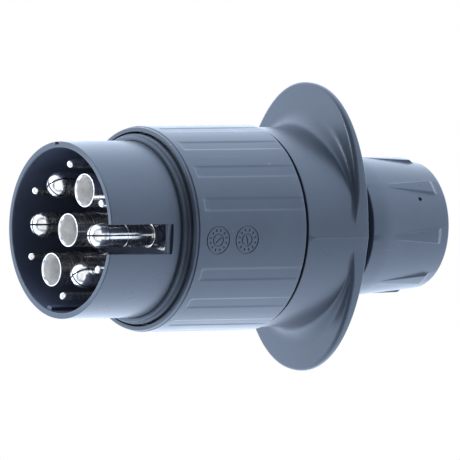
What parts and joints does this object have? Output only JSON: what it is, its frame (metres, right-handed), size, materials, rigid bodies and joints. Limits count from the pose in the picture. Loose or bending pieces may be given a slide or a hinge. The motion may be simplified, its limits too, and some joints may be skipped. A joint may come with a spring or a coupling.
{
  "type": "trailer wiring connector",
  "caption": "Round trailer wiring plug with a keyed contact nose, ribbed union sleeve, oval finger flange and screw-down cable gland.",
  "frame": {"origin": "centre of the nose rim, on the plug's axis", "axes": "+X along the axis from the nose to the cable entry, -Y towards the keyway, Z along the long axis of the oval flange"},
  "size_m": [0.0985, 0.0466, 0.0658],
  "materials": {
    "moulded_plastic": "black glass-filled moulding, satin, with faint blue-grey sheen",
    "insulator_plastic": "dark insulating moulding, matt",
    "seal_rubber": "black elastomer, smooth",
    "nickel_plate": "bright nickel plate on turned brass",
    "screw_steel": "zinc-plated steel"
  },
  "bodies": {
    "plug_body": {"front_shroud": "moulded_plastic", "contact_carrier": "insulator_plastic", "carrier_lock_ring": "screw_steel", "housing_o_ring": "seal_rubber", "rear_housing": "moulded_plastic", "cable_grommet": "seal_rubber", "split_pin_1": "nickel_plate", "split_pin_2": "nickel_plate", "split_pin_3": "nickel_plate", "split_pin_4": "nickel_plate", "socket_tube_1": "nickel_plate", "socket_tube_2": "nickel_plate", "socket_tube_3": "nickel_plate", "small_pin_1": "nickel_plate", "small_pin_2": "nickel_plate", "small_pin_3": "nickel_plate", "small_pin_4": "nickel_plate", "small_pin_5": "nickel_plate", "small_pin_6": "nickel_plate", "terminal_screw_1": "screw_steel", "terminal_screw_2": "screw_steel", "terminal_screw_3": "screw_steel", "terminal_screw_4": "screw_steel", "terminal_screw_5": "screw_steel", "terminal_screw_6": "screw_steel", "terminal_screw_7": "screw_steel"},
    "seal_carriage": {"nose_seal_ring": "seal_rubber"},
    "union_sleeve": {"union_sleeve": "moulded_plastic"},
    "washer_carriage": {"slip_washer": "insulator_plastic"},
    "gland_nut": {"gland_nut": "moulded_plastic"}
  },
  "joints": [
    {"name": "union_travel", "type": "slide", "parent": "plug_body", "child": "seal_carriage", "axis": [-1, 0, 0], "range_m": [0, 0.0045]},
    {"name": "union_turn", "type": "hinge", "parent": "seal_carriage", "child": "union_sleeve", "pos_m": [0.036, 0, 0], "axis": [-1, 0, 0], "range_deg": [0, 810]},
    {"name": "gland_travel", "type": "slide", "parent": "plug_body", "child": "washer_carriage", "axis": [1, 0, 0], "range_m": [0, 0.0055]},
    {"name": "gland_turn", "type": "hinge", "parent": "washer_carriage", "child": "gland_nut", "pos_m": [0.087, 0, 0], "axis": [1, 0, 0], "range_deg": [0, 990]}
  ],
  "couplings": [
    {"joint": "union_turn", "follows": "union_travel", "rad_per_m": 3141.6},
    {"joint": "gland_turn", "follows": "gland_travel", "rad_per_m": 3141.6}
  ]
}
